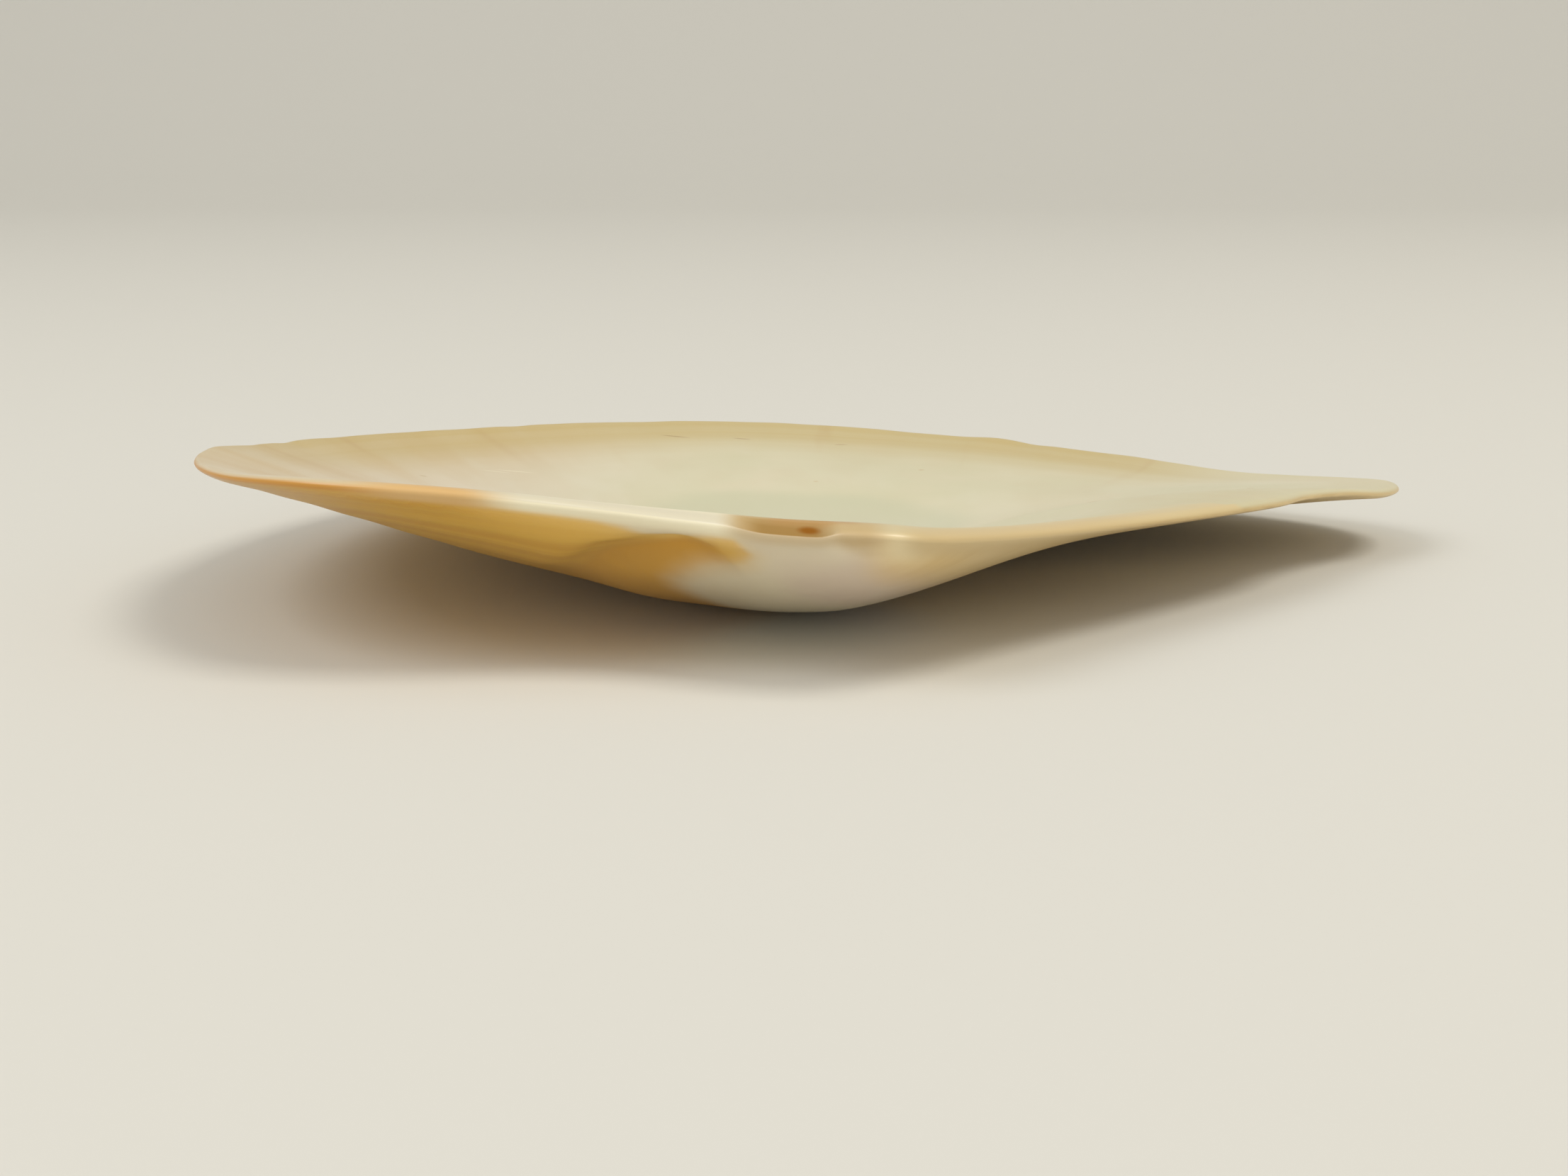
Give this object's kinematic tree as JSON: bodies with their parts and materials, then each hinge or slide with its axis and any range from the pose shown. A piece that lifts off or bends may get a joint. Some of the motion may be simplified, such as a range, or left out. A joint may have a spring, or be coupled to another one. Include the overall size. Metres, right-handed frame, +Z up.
{
  "type": "pearl oyster shell",
  "caption": "Polished pearl oyster valve, a shallow dish of nacre with a straight hinge, an umbo and a thin wing, lying on its convex side.",
  "frame": {"origin": "under the middle of the valve's bounding box, on the surface it lies on", "axes": "+X along the valve's longest side, toward the wing; -Y toward the hinge and umbo; +Z up, out of the open dish"},
  "size_m": [0.1894, 0.1628, 0.0262],
  "materials": {
    "nacre": "polished, pearly cream inside with a golden lip, amber and white outside"
  },
  "bodies": {
    "root": {"shell": "nacre"}
  },
  "joints": []
}
